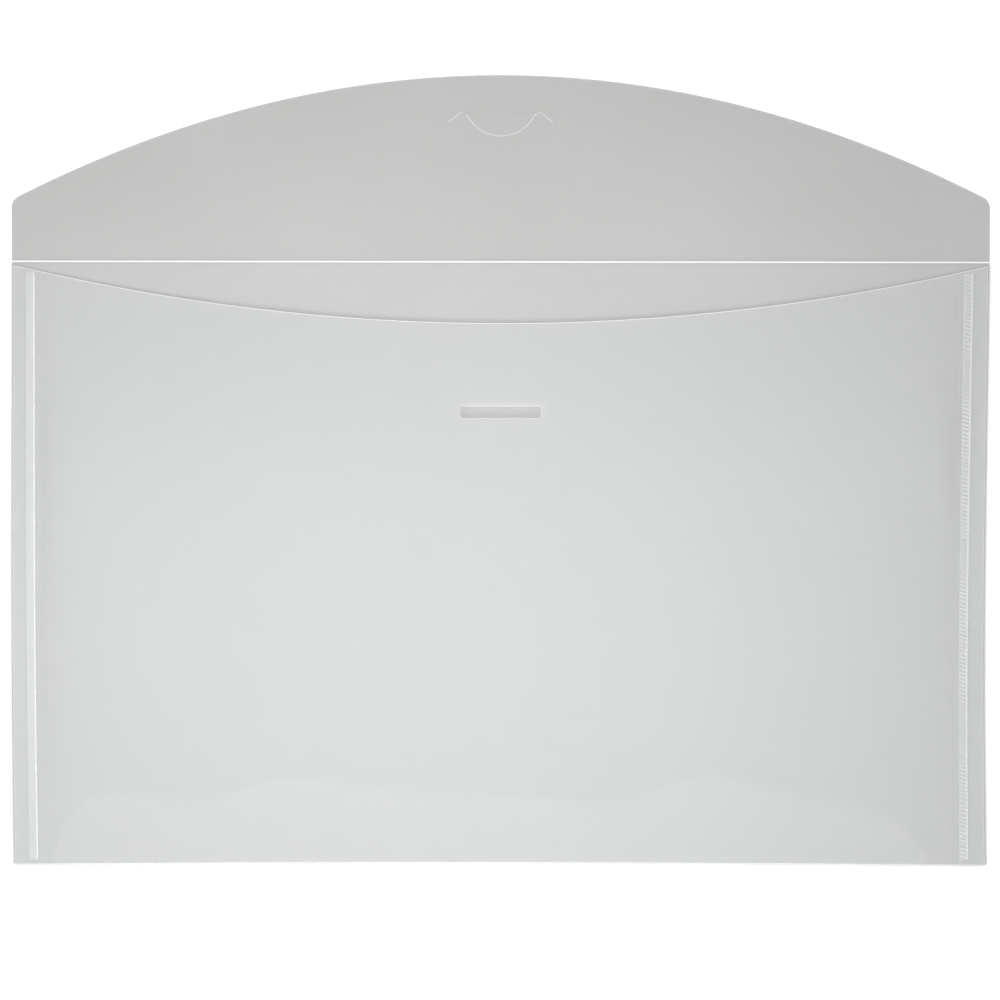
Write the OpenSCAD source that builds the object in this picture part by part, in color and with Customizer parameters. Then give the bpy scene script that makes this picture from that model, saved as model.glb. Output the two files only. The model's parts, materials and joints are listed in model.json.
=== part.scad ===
// Flat document case of translucent polypropylene film.
// One die-cut blank makes the back panel, the arched flap, the tuck tongue, the two side tabs and the
// front panel. It is creased, folded up at the bottom, and welded to the side tabs.
// Lies on its back: +X across the case, +Y from the bottom fold to the flap, +Z out of the front panel.

/* [Case] */
// Width over the side folds
case_w = 464; // [330:1:600]
// Height from the flap crease to the bottom fold
case_h = 287; // [220:1:400]
// Thickness of the film
film_t = 0.4; // [0.3:0.05:0.5]
// Thickness of the case over its folded edges
edge_t = 2; // [1.6:0.1:2.4]

/* [Pocket] */
// Depth of the mouth curve at the middle, below the crease
mouth_dip = 29.2; // [24:0.1:36]
// Distance of the mouth's ends below the crease
mouth_end = 2.6; // [1.5:0.1:4]
// Distance of the belly's highest line below the crease
crown_d = 125; // [100:1:150]
// Roundness of the belly towards the bottom fold
crown_power = 2.6; // [2:0.1:4]
// Roundness of the belly across the case
cross_power = 2.2; // [2:0.1:4]
// How far the front panel's side edges stand in from the side folds
front_inset = 1.7; // [1.2:0.1:3]

/* [Flap] */
// Height of the flap at the middle, above the crease
flap_h = 88; // [84:1:110]
// Height above the crease where the arched edge would meet the flap's straight sides
flap_side_h = 29; // [24:0.5:40]
// How far the flap's sides stand in from the side folds
flap_inset = 0.6; // [0.2:0.1:3]
// Radius of the flap's corners
flap_corner_r = 6; // [2:0.5:10]
// Width of the pressed crease
crease_w = 1; // [0.6:0.1:2]
// Thickness of the film in the crease
crease_t = 0.25; // [0.15:0.05:0.3]
// Height of the axis that the flap folds about, at the middle of its roll
hinge_z = 1.7; // [1.5:0.05:2.2]
// Slope that the closed flap lies at, in degrees
closed_tilt = 4.8; // [4:0.1:7]
// Gap left between the closed flap and the front panel
rest_gap = 0.25; // [0.2:0.05:0.5]

/* [Closure] */
// Distance of the tongue's tip above the crease
tongue_tip_d = 59.4; // [54:0.1:62]
// Radius of the tongue's round end
tongue_r = 17.9; // [14.9:0.1:20]
// Half of the angle that the tongue's round end takes up
tongue_angle = 62; // [55:1:68]
// Radius of the turn at each side of the tongue's root
turn_r = 2.6; // [2:0.1:3]
// Length of the straight cut that relieves each end of the slit
ear_l = 6; // [4:0.5:8]
// Slope of that cut
ear_angle = 38; // [30:1:45]
// Width of the slit round the tongue
slit_w = 0.35; // [0.2:0.05:0.5]
// Gap between the tongue's root and each end of the slot
slot_end_gap = 0.9; // [0.4:0.1:3]
// Height of the slot
slot_h = 5.4; // [4.5:0.1:6.5]
// How far the slot's near edge lies inside the closed tongue's root
slot_lead = 1.8; // [1.6:0.1:2.4]
// Radius of the slot's corners
slot_r = 1.2; // [0.5:0.1:2]

/* [Side tabs and welds] */
// Width of the side tabs beyond the weld
tab_margin = 2; // [0.5:0.1:8]
// Slope of the tabs' cut ends, in degrees
tab_slope = 21; // [10:1:35]
// Width of the welded strip
weld_w = 4.3; // [3:0.1:5.5]
// Distance of the weld's middle from the side fold, at its top end
weld_in_top = 9.7; // [9:0.1:11]
// Distance of the weld's middle from the side fold, at its bottom end
weld_in_bottom = 11.8; // [11:0.1:14.5]
// Spacing of the ridges that the welding wheel leaves
weld_pitch = 1.9; // [1.4:0.1:3]
// Height of those ridges
weld_ridge_h = 0.12; // [0.05:0.01:0.2]
// Distance of the weld's top end from the mouth's edge
weld_top_gap = 1.2; // [0.5:0.1:4]
// Distance from the bottom fold to the weld's bottom end
weld_bottom_gap = 3; // [2:0.1:6]

/* [Hidden] */

// Overall places, with the origin under the middle of the open case
bottom_y = -(case_h + flap_h) / 2;
crease_y = bottom_y + case_h;
case_half = case_w / 2;
weld_in_max = max(weld_in_top, weld_in_bottom) + weld_w / 2;
tab_inner = case_half - weld_in_max - tab_margin;
fold_r = edge_t / 2;              // outside radius of the bottom fold
side_fold_h = edge_t - film_t;    // the side folds carry the tab, and the front panel lies on it
side_fold_r = side_fold_h / 2;
back_half = case_half - side_fold_r;
front_half = case_half - front_inset;
flap_half = case_half - flap_inset;
back_top_y = crease_y - crease_w / 2;
flap_foot_y = crease_y + crease_w / 2;
front_end_d = case_h - fold_r;    // where the front panel meets the bottom fold
tab_top_y = crease_y - mouth_end / 2;
tab_foot_gap = 0.4;               // the side tabs stop short of the bottom fold by this
tab_foot_y = bottom_y + fold_r + tab_foot_gap;
belly_half = case_half - weld_in_max;  // the film is flat from here outwards

// The slit: a round end, a turn back at each side and a straight relieving cut
round_y = crease_y + tongue_tip_d + tongue_r;
turn_x = (tongue_r + turn_r) * sin(tongue_angle);
turn_y = round_y - (tongue_r + turn_r) * cos(tongue_angle);
root_y = turn_y + turn_r + slit_w / 2;

// The slot lies where the closed flap brings the tongue's root
closed_root_d = (root_y - crease_y) * cos(closed_tilt) + (hinge_z - film_t) * sin(closed_tilt);
slot_near_d = closed_root_d - slot_lead;
slot_w = 2 * (turn_x + slot_end_gap);

// The front panel's height at the middle of the case, where the closed flap and the belly set it
slot_land = 1.5;                  // straight film beyond the slot, before the belly rounds off
ramp_end_d = slot_near_d + slot_h + slot_land;
ramp_slope = tan(closed_tilt);
function ramp_z(d) = hinge_z + (hinge_z - film_t) / cos(closed_tilt) + d * ramp_slope - rest_gap;
crown_z = ramp_z(ramp_end_d) + ramp_slope * (crown_d - ramp_end_d) / 2;
function middle_z(d) =
  d <= ramp_end_d ? ramp_z(d)
  : d <= crown_d ? crown_z - ramp_slope * pow(crown_d - d, 2) / (2 * (crown_d - ramp_end_d))
  : edge_t + (crown_z - edge_t) * (1 - pow((d - crown_d) / (front_end_d - crown_d), crown_power));
function across(x) = abs(x) >= belly_half ? 0 : 1 - pow(abs(x) / belly_half, cross_power);
function front_top_z(x, d) = edge_t + (middle_z(d) - edge_t) * across(x);

// The mouth is an arc through both ends and the middle of the dip
mouth_sag = mouth_dip - mouth_end;
mouth_r = (pow(front_half, 2) + pow(mouth_sag, 2)) / (2 * mouth_sag);
function mouth_d(x) = mouth_dip - mouth_r + sqrt(pow(mouth_r, 2) - pow(x, 2));

// The flap's arched edge is a parabola, and each corner's arc touches it and the straight side
flap_sag = flap_h - flap_side_h;
function arch_y(x) = crease_y + flap_h - flap_sag * pow(x / flap_half, 2);
function arch_slope(x) = atan(2 * flap_sag * x / pow(flap_half, 2));
arch_end_x = flap_half - flap_corner_r * (1 - sin(arch_slope(flap_half)));
corner_turn = arch_slope(arch_end_x);  // measured from +Y
corner_x = flap_half - flap_corner_r;
corner_y = arch_y(arch_end_x) - flap_corner_r * cos(corner_turn);
arch_half_x = corner_x + flap_corner_r * sin(corner_turn);

arc_steps = 24;
arch_steps = 64;

// Points of an arc whose angles run from a to b, measured from +Y towards +X
function arc(x, y, r, a, b, steps = arc_steps) =
  [for (i = [0:steps]) let (t = a + (b - a) * i / steps) [x + r * sin(t), y + r * cos(t)]];
function flip(points) = [for (i = [len(points) - 1:-1:0]) [-points[i][0], points[i][1]]];

// Each side of the ear's straight cut ends here, where r is the radius that its turn has
function ear_tip(r) = [
  turn_x + r * sin(ear_angle) + ear_l * cos(ear_angle),
  turn_y + r * cos(ear_angle) - ear_l * sin(ear_angle),
];
// The right half of the slit's side towards the tongue (side 1) or the flap (side -1)
function slit_turn(side, last) =
  arc(turn_x, turn_y, turn_r + side * slit_w / 2, -tongue_angle, last);
function slit_round(side) =
  arc(0, round_y, tongue_r - side * slit_w / 2, 180, 180 - tongue_angle);
function slit_half(side, last) = concat(slit_round(side), slit_turn(side, last));

// A half-round fold along Z, open towards -X, whose outside has radius r
module half_fold(r, length) {
  linear_extrude(length, center = true)
    intersection() {
      difference() {
        circle(r, $fn = 96);
        circle(r - film_t, $fn = 96);
      }
      translate([0, -2 * r]) square([2 * r, 4 * r]);
    }
}

module back_panel() {
  color([0.80, 0.80, 0.79, 0.6])
    translate([-back_half, bottom_y + fold_r, 0])
      cube([2 * back_half, back_top_y - bottom_y - fold_r, film_t]);
}

front_columns = 26;
front_rows = 18;

// The bowed front panel before its slot is cut. Its rows run from the mouth to the bottom fold
module front_sheet() {
  xs = concat(
    [-front_half],
    [for (i = [0:front_columns]) belly_half * (2 * i / front_columns - 1)],
    [front_half]
  );
  nx = len(xs);
  ny = front_rows + 1;
  function row_d(x, j) = mouth_d(x) + (front_end_d - mouth_d(x)) * j / front_rows;
  tops = [for (j = [0:ny - 1]) for (x = xs) [x, crease_y - row_d(x, j), front_top_z(x, row_d(x, j))]];
  all_points = concat(tops, [for (p = tops) p - [0, 0, film_t]]);
  below = nx * ny;
  skins = [
    for (j = [0:ny - 2]) for (i = [0:nx - 2])
      let (a = j * nx + i, b = a + 1, c = a + nx, d = c + 1)
      each [[a, b, c], [b, d, c], [below + a, below + c, below + b], [below + b, below + c, below + d]]
  ];
  ends = [
    for (i = [0:nx - 2])
      let (a = i, b = i + 1, c = (ny - 1) * nx + i, d = c + 1)
      each [[a, below + a, b], [b, below + a, below + b], [c, d, below + c], [d, below + d, below + c]]
  ];
  sides = [
    for (j = [0:ny - 2])
      let (a = j * nx, c = a + nx, b = a + nx - 1, d = c + nx - 1)
      each [[a, c, below + a], [c, below + c, below + a], [b, below + b, d], [d, below + b, below + d]]
  ];
  polyhedron(all_points, concat(skins, ends, sides));
}

module slot_outline() {
  x = slot_w / 2 - slot_r;
  near_y = crease_y - slot_near_d - slot_r;
  far_y = crease_y - slot_near_d - slot_h + slot_r;
  polygon(concat(
    arc(x, near_y, slot_r, 0, 90, 6),
    arc(x, far_y, slot_r, 90, 180, 6),
    arc(-x, far_y, slot_r, 180, 270, 6),
    arc(-x, near_y, slot_r, 270, 360, 6)
  ));
}

module front_panel() {
  color([0.88, 0.89, 0.88, 0.6])
    difference() {
      front_sheet();
      linear_extrude(crown_z + edge_t) slot_outline();
    }
}

module bottom_fold() {
  color([0.86, 0.87, 0.86, 0.6])
    translate([0, bottom_y + fold_r, fold_r])
      rotate([90, 0, -90]) half_fold(fold_r, 2 * front_half);
}

module right_side_fold() {
  length = tab_top_y - tab_foot_y;
  color([0.84, 0.85, 0.84, 0.6])
    translate([back_half, tab_foot_y + length / 2, side_fold_r])
      rotate([90, 0, 0]) half_fold(side_fold_r, length);
}

module right_side_tab() {
  fall = (back_half - tab_inner) * tan(tab_slope);
  color([0.84, 0.85, 0.84, 0.6])
    translate([0, 0, side_fold_h - film_t])
      linear_extrude(film_t)
        polygon([
          [tab_inner, tab_foot_y], [back_half, tab_foot_y],
          [back_half, tab_top_y], [tab_inner, tab_top_y - fall],
        ]);
}

// A ribbed strip on the flat margin of the front panel, over the tab. It leans in towards the bottom
module right_weld_seam() {
  top_y = crease_y - mouth_d(case_half - weld_in_max) - weld_top_gap;
  foot_y = bottom_y + weld_bottom_gap;
  ridges = floor((top_y - foot_y) / weld_pitch);
  pitch = (top_y - foot_y) / ridges;
  lean = atan2(weld_in_bottom - weld_in_top, top_y - foot_y);
  valley_h = weld_ridge_h / 3;
  color([0.93, 0.93, 0.92])
    translate([case_half - weld_in_bottom, foot_y, edge_t])
      rotate([0, 0, -lean])
        translate([-weld_w / 2, 0, 0])
          rotate([90, 0, 90])
            linear_extrude(weld_w)
              polygon(concat(
                [[0, 0]],
                [for (i = [0:ridges - 1]) each [[i * pitch, valley_h], [(i + 0.5) * pitch, weld_ridge_h]]],
                [[ridges * pitch, valley_h], [ridges * pitch, 0]]
              ));
}

module left_side_fold() { mirror([1, 0, 0]) right_side_fold(); }
module left_side_tab() { mirror([1, 0, 0]) right_side_tab(); }
module left_weld_seam() { mirror([1, 0, 0]) right_weld_seam(); }

module flap_crease() {
  color([0.95, 0.95, 0.95])
    translate([-flap_half, back_top_y, (film_t - crease_t) / 2])
      cube([2 * flap_half, crease_w, crease_t]);
}

module flap_outline() {
  right = concat(
    [[flap_half, flap_foot_y]],
    arc(corner_x, corner_y, flap_corner_r, 90, corner_turn, 8)
  );
  arch = [for (i = [1:arch_steps - 1]) let (x = arch_half_x * (1 - 2 * i / arch_steps)) [x, arch_y(x)]];
  polygon(concat(right, arch, flip(right)));
}

// The slit with the tongue's own area, which the flap leaves open
module tongue_window() {
  lower = concat(slit_half(-1, ear_angle), [ear_tip(turn_r - slit_w / 2)]);
  upper = concat([ear_tip(turn_r + slit_w / 2)], arc(turn_x, turn_y, turn_r + slit_w / 2, ear_angle, 0, 6));
  right = concat(lower, upper);
  polygon(concat(right, flip(right)));
}

module flap_panel() {
  color([0.77, 0.77, 0.76, 0.6])
    linear_extrude(film_t)
      difference() {
        flap_outline();
        tongue_window();
      }
}

module closure_tongue() {
  right = slit_half(1, 0);
  color([0.78, 0.78, 0.77, 0.6])
    linear_extrude(film_t)
      polygon(concat(right, flip(right)));
}

back_panel();
front_panel();
bottom_fold();
left_side_fold();
right_side_fold();
left_side_tab();
right_side_tab();
left_weld_seam();
right_weld_seam();
flap_crease();
flap_panel();
closure_tongue();
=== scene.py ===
"""Looks of a flat document case of translucent polypropylene film, built round its CAD frame."""
import json
import math

import bmesh
import bpy
import numpy as np
from bpy.props import FloatProperty, FloatVectorProperty, PointerProperty
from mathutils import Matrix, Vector
from mathutils.geometry import delaunay_2d_cdt


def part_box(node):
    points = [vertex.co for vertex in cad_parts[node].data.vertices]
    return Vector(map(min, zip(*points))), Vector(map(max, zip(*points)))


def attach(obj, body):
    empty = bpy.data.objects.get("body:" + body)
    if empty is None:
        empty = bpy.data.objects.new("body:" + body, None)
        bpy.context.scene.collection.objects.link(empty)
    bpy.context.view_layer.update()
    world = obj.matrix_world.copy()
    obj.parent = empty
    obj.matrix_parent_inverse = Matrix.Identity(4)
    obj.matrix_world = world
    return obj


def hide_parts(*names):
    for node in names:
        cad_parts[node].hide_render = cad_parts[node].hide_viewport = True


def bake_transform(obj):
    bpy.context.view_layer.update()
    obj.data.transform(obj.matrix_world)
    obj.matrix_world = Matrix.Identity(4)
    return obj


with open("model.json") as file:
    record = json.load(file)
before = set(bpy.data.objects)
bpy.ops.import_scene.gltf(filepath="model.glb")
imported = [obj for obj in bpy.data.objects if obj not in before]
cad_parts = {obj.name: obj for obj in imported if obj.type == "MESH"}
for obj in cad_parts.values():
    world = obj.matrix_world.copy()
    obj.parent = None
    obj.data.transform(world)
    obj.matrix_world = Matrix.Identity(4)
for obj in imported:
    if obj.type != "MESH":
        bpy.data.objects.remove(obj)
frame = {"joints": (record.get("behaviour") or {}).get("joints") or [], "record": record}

bl_info = {
    "name": "Film portfolio case",
    "version": (1, 0, 0),
    "blender": (4, 5, 0),
    "location": "3D View > Sidebar > Portfolio",
    "description": "Builds the sheets, folds, welds and flap of a film portfolio case round its CAD frame",
    "category": "Object",
}

MM = 0.001
PI = math.pi


def millimetres(vector):
    """A point of the frame, in metres, as a numpy array in millimetres."""
    return np.array(vector) / MM


def node_box(name):
    """Lowest and highest corner of a CAD node, in millimetres."""
    low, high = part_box(name)
    return millimetres(low), millimetres(high)


# Places and sizes that the CAD model settles, in millimetres
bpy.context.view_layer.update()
BACK_LOW, BACK_HIGH = node_box("back_panel")
FRONT_HIGH = node_box("front_panel")[1]
FOLD_LOW, FOLD_HIGH = node_box("bottom_fold")
SIDE_LOW, SIDE_HIGH = node_box("right_side_fold")
TAB_LOW, TAB_HIGH = node_box("right_side_tab")
FLAP_HIGH = node_box("flap_panel")[1]
TONGUE_LOW, TONGUE_HIGH = node_box("closure_tongue")
WELD_LOW, WELD_HIGH = node_box("right_weld_seam")
JOINTS = {joint["name"]: joint for joint in frame["joints"]}
HINGE_Y, HINGE_Z = millimetres(JOINTS["flap_fold"]["pos_m"])[1:]
CLOSED_TILT = math.radians(180 - JOINTS["flap_fold"]["range_deg"][1])
OPENINGS = {o["name"]: millimetres(o["box_m"]) for o in frame["record"]["physics"]["openings"]}
SLOT_Y = OPENINGS["closure_slot"][:, 1].mean()
FILM = BACK_HIGH[2] - BACK_LOW[2]
EDGE_TOP = FOLD_HIGH[2]
TOUCH_GAP = 0.06  # between films that lie on each other

# Waves that run down the front sheet: share of their height, wavelength, and where a crest lies
BROAD_WAVE = (0.52, 195, -81.8)
MEDIUM_WAVE = (0.33, 90, 1.0)
FINE_WAVE = (0.15, 72, -29.1)
WAVE_DRIFT = 0.12  # how far the finest crest moves sideways for each millimetre down the film
WAVE_RISE = 60  # length over which the waves grow, beyond the slot
FLAT_SIZE, FLAT_START, FLAT_W = 1.6, 130, 75  # the film's flatter part towards the right side
BOW_POWER = 1.3  # above 1, so that the sides draw in the most below their middle

# Mesh details
SHARP_ANGLE = math.radians(40)
SAME_POINT = 1e-4  # points nearer than this are one
ROW_SHARE = 0.87  # spacing of the staggered rows, as a share of the step
CLEAR_SHARE = 0.6  # how near a point may lie to a rim, as a share of the step
BATCH = 2000  # points that are compared at a time
FOLD_STEP = 2.5  # along a fold
ROOT_STEP = 1.2  # along the tongue's root
EAR_STEP = 0.8  # along the relieving cuts


def srgb(code):
    """Linear RGBA of an sRGB hex colour.

    A channel c becomes c / 12.92 up to 0.04045, and ((c + 0.055) / 1.055) ^ 2.4 above it.
    """
    channels = [int(code[i:i + 2], 16) / 255 for i in (0, 2, 4)]
    linear = [c / 12.92 if c <= 0.04045 else ((c + 0.055) / 1.055) ** 2.4 for c in channels]
    return (*linear, 1.0)


def length(name, default_mm, description):
    """A length property whose default is given in millimetres."""
    return FloatProperty(name=name, description=description, default=default_mm * MM, unit="LENGTH",
                         subtype="DISTANCE", precision=5)


def colour(name, code, description):
    """A colour property whose default is given as sRGB hex."""
    return FloatVectorProperty(name=name, description=description, default=srgb(code), size=4,
                               min=0, max=1, subtype="COLOR")


def share(name, default, description):
    """A property from 0 to 1."""
    return FloatProperty(name=name, description=description, default=default, min=0, max=1,
                         subtype="FACTOR")


class SheetSettings(bpy.types.PropertyGroup):
    """How finely the sheets are meshed, and how their die-cut edges look."""
    step: length("Mesh step", 3.0, "Spacing of the points inside a sheet")
    edge_step: length("Edge step", 1.5, "Spacing of the points along a cut edge")
    round_w: length("Edge rounding", 0.14, "Width over which a die-cut edge rounds off")
    # Painted highlight: cut edges are drawn white over this width, as the glint of light along them
    glint_w: length("Edge whitening", 0.34, "Width of the film that the die whitens along a cut")
    cut_share: share("Cut thickness", 0.8,
                     "Share of the film's thickness that is left at a rounded cut edge")
    bottom_bow: length("Bottom bow", 1.1, "How far the middle of the bottom fold draws in")
    right_bow: length("Right bow", 1.3, "How far the right side draws in")
    left_bow: length("Left bow", -0.8, "How far the left side draws in")


class PocketSettings(bpy.types.PropertyGroup):
    """Shape of the front sheet and of its slot."""
    mouth_dip: length("Mouth dip", 29.2, "Depth of the mouth curve at the middle, below the crease")
    mouth_end: length("Mouth end", 1.8, "Depth of the mouth curve at both sides, below the crease")
    slot_w: length("Slot width", 38.0, "Width of the slot that takes the tongue")
    slot_h: length("Slot height", 5.4, "Height of that slot")
    slot_r: length("Slot corner radius", 1.2, "Radius of the slot's corners")
    slot_land: length("Slot land", 1.5, "Straight film beyond the slot, before the belly rounds off")
    rest_gap: length("Flap gap", 0.3, "Gap between the closed flap and the front sheet")
    crown_d: length("Crown distance", 125.0, "Distance of the belly's highest line below the crease")
    margin_w: length("Weld margin", 13.95, "Width of the flat film at each side")
    flute_h: length("Flute height", 1.5, "Height of the slow waves that run down the film")
    tab_fall: length("Tab slope", 5.8, "How far a side tab's top end slopes down")
    crown_power: FloatProperty(name="Crown power", default=2.6, min=2, max=6,
                               description="Roundness of the belly towards the bottom fold")
    left_power: FloatProperty(name="Left power", default=26.0, min=2, max=40,
                              description="How squarely the belly meets the left margin")
    right_power: FloatProperty(name="Right power", default=24.0, min=2, max=40,
                               description="How squarely the belly meets the right margin")


class FlapSettings(bpy.types.PropertyGroup):
    """Outline of the flap, of its crease and of the slit round the tongue."""
    side_h: length("Side height", 29.0,
                   "Height above the crease where the arch would meet the straight sides")
    corner_r: length("Corner radius", 6.0, "Radius of the flap's corners")
    crease_w: length("Crease zone", 2.0, "Width of the film that rolls over as the flap folds")
    crease_t: length("Crease thickness", 0.25, "Thickness of the film at the middle of the crease")
    press_w: length("Pressed line", 0.62, "Width of the whitened line along the crease")
    ridge_h: length("Crease lift", 0.35, "How far the pressed crease stands off the surface")
    ridge_w: length("Crease lift width", 7.0,
                    "Width of the film that rises to the crease, at each side")
    tongue_r: length("Tongue radius", 17.9, "Radius of the tongue's round end")
    turn_r: length("Turn radius", 2.6, "Radius of the turn at each side of the tongue's root")
    ear_l: length("Ear length", 6.0, "Length of the straight cut that relieves each end of the slit")
    slit_w: length("Slit width", 0.12, "Width of the slit")
    root_w: length("Root zone", 2.0, "Width of the film that bends at the tongue's root")
    tongue_angle: FloatProperty(name="Tongue angle", default=math.radians(62), subtype="ANGLE",
                                description="Half of the angle that the tongue's round end takes up")
    ear_angle: FloatProperty(name="Ear angle", default=math.radians(38), subtype="ANGLE",
                             description="Slope of the relieving cuts")


class WeldSettings(bpy.types.PropertyGroup):
    """The track that a knurled ultrasonic wheel leaves along each side."""
    width: length("Weld width", 4.3, "Width of the track")
    pitch: length("Knurl pitch", 1.9, "Spacing of the knurl's ribs along the track")
    knurl_h: length("Knurl height", 0.14, "Height of the knurl")
    lean: length("Weld lean", 1.0, "How much further in the track's bottom end lies")
    right_in: length("Right weld inset", 1.0, "How much further in the right track lies")
    mouth_gap: length("Mouth gap", 0.2, "Gap between the track's top end and the mouth")
    grain: length("Weld mesh step", 0.24, "Spacing of the points on the track")
    base: share("Weld milkiness", 0.12, "How milky the left track is between its ribs")
    ramp: share("Weld milkiness across", 0.16, "How much milkier the left track is at its far side")
    left_knurl: share("Left knurl", 0.16, "How much milkier the left track's ribs are")
    right_knurl: share("Right knurl", 0.5, "How much milkier the right track's ribs are")
    # Border also scales a painted highlight along each track's +X border
    border: share("Border", 0.5, "How much milkier the track's borders are")


class FinishSettings(bpy.types.PropertyGroup):
    """Colours and clearness of the film."""
    back: colour("Back film", "A8A9A8", "Haze colour of the back sheet")
    flap: colour("Flap film", "A6A6A5", "Haze colour of the flap")
    front: colour("Front film", "CBCECC", "Haze colour of the front sheet")
    folded: colour("Folded film", "CDD0CE", "Haze colour of the folds and tabs")
    # Colour of the painted highlight along cut edges, and of the whitened crease and fold crests
    cut_edge: colour("Cut edge", "E6E7E6", "Colour of a whitened die-cut edge")
    weld: colour("Weld", "E0E2E1", "Colour of the welded track")
    back_haze: share("Back haze", 0.5, "Share of light that each face of the back film scatters")
    flap_haze: share("Flap haze", 0.5, "Share of light that each face of the flap film scatters")
    front_haze: share("Front haze", 0.15, "Share of light that each face of the front film scatters")
    tab_haze: share("Tab haze", 0.03, "Share of light that each face of a side tab scatters")
    # Painted highlight: how white and how solid the glint of light along each kind of cut edge is drawn
    rim_glint: share("Rim whitening", 0.2, "How white the die leaves the case's outer edges")
    mouth_glint: share("Mouth whitening", 0.6, "How white it leaves the mouth's edge")
    slot_edge_glint: share("Slot whitening", 0.25, "How white it leaves the slot's edge")
    slit_glint: share("Slit whitening", 0.45, "How white it leaves both sides of the slit")
    glint_solid: share("Cut hiding", 0.86, "How much of what lies below a white cut edge hides")
    fold_solid: share("Fold hiding", 0.5, "How much of it the stretched crest of a fold hides")
    press_solid: share("Crease hiding", 0.75, "How much of it the pressed crease hides")
    roughness: share("Roughness", 0.46, "Roughness of the film's matt emboss")
    gloss: share("Gloss roughness", 0.05, "Roughness of the film's smooth skin")


class StageSettings(bpy.types.PropertyGroup):
    """Floor, lights and camera."""
    floor: colour("Floor", "F5F5F5", "Colour of the floor")
    floor_half: length("Floor reach", 3000.0, "Reach of the floor to each side")
    floor_drop: length("Floor drop", 0.3, "Gap between the case and the floor")
    key_power: FloatProperty(name="Key light", default=3.7, min=0,
                             description="Power of the overhead light, W")
    key_x: length("Key across", -58.0, "Where the overhead light hangs, across the case")
    key_y: length("Key along", -78.0, "Where the overhead light hangs, along the case")
    key_h: length("Key height", 480.0, "Height of the overhead light")
    key_w: length("Key width", 500.0, "Width of the overhead light")
    key_depth: length("Key depth", 200.0, "Depth of the overhead light")
    band_power: FloatProperty(name="Band light", default=9.5, min=0,
                              description="Power of the long soft box beyond the bottom fold, W")
    band_angle: FloatProperty(name="Band angle", default=math.radians(17), subtype="ANGLE",
                              description="Lean of the line from the case to the soft box's near edge")
    band_foot: length("Band foot", 247.0, "Where that line leaves the case, below the crease")
    band_h: length("Band height", 1000.0, "Height of the soft box")
    band_w: length("Band width", 2400.0, "Width of the soft box")
    band_depth: length("Band depth", 600.0, "Depth of the soft box")
    fill: FloatProperty(name="Fill", default=0.8, min=0, description="Strength of the surrounding light")
    view_w: length("View width", 474.2, "Width that the camera takes in")
    distance: length("Camera distance", 1350.0, "Distance of the camera from the case")
    aim_x: length("Aim across", -0.25, "Where the camera aims, across the case")
    aim_y: length("Aim along", -13.2, "Where the camera aims, along the case")
    tilt: FloatProperty(name="Camera tilt", default=math.radians(1.4), subtype="ANGLE",
                        description="Lean of the camera towards the flap")
    roll: FloatProperty(name="Camera roll", default=math.radians(0.07), subtype="ANGLE",
                        description="Turn of the camera about its line of sight")


def mm(settings, name):
    """A length property in millimetres."""
    return getattr(settings, name) / MM


# ---------------------------------------------------------------- meshes

def make_object(name, points, faces, attributes):
    """A closed mesh object from points in millimetres, with a float attribute for each entry."""
    mesh = bpy.data.meshes.new(name)
    mesh.from_pydata(np.asarray(points) * MM, [], faces)
    solid = bmesh.new()
    solid.from_mesh(mesh)
    bmesh.ops.recalc_face_normals(solid, faces=solid.faces)
    solid.to_mesh(mesh)
    solid.free()
    mesh.shade_smooth()
    mesh.set_sharp_from_angle(angle=SHARP_ANGLE)
    for key, values in attributes.items():
        attribute = mesh.attributes.new(key, "FLOAT", "POINT")
        attribute.data.foreach_set("value", np.asarray(values, np.float32))
    piece = bpy.data.objects.new(name, mesh)
    bpy.context.scene.collection.objects.link(piece)
    return piece


def arc(x, y, r, start, end, count):
    """Points of an arc of radius r round (x, y), with angles in radians from +Y towards +X."""
    t = np.linspace(start, end, count)
    return np.column_stack([x + r * np.sin(t), y + r * np.cos(t)])


def stretch(start, end, step):
    """Points along a straight line at about the given step, with both its ends."""
    count = max(1, round(math.dist(start, end) / step))
    return np.linspace(start, end, count + 1)


def flip(points):
    """The points mirrored in X and taken the other way round."""
    return points[::-1] * [-1, 1]


def closed_loop(*runs):
    """Joins runs of points, each with the strength of the painted highlight along its cut edge, 0 for no
    cut, and drops double points.
    """
    points = np.concatenate([run for run, _ in runs])
    cut = np.concatenate([np.full(len(run), float(white)) for run, white in runs])
    apart = np.linalg.norm(points - np.roll(points, -1, axis=0), axis=1) > SAME_POINT
    return points[apart], cut[apart]


def inset(loop, distance):
    """The loop moved to its left by the distance, square to the line between each point's neighbours."""
    along = np.roll(loop, -1, axis=0) - np.roll(loop, 1, axis=0)
    left = np.column_stack([-along[:, 1], along[:, 0]])
    return loop + distance * left / np.linalg.norm(left, axis=1)[:, None]


def in_batches(measure, points):
    """Measures the points a batch at a time, which keeps the arrays small."""
    batches = np.array_split(points, 1 + len(points) // BATCH)
    return np.concatenate([measure(batch) for batch in batches])


def inside(points, loops):
    """Even-odd test: an odd number of the loops' edges pass to the right of a point that is inside."""
    a = np.concatenate(loops)
    b = np.concatenate([np.roll(loop, -1, axis=0) for loop in loops])

    def odd(batch):
        x, y = batch[:, None, 0], batch[:, None, 1]
        straddles = (a[:, 1] > y) != (b[:, 1] > y)
        rise = np.where(straddles, b[:, 1] - a[:, 1], 1)
        crossing = a[:, 0] + (y - a[:, 1]) / rise * (b[:, 0] - a[:, 0])
        return (straddles & (x < crossing)).sum(axis=1) % 2 == 1
    return in_batches(odd, points)


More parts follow.
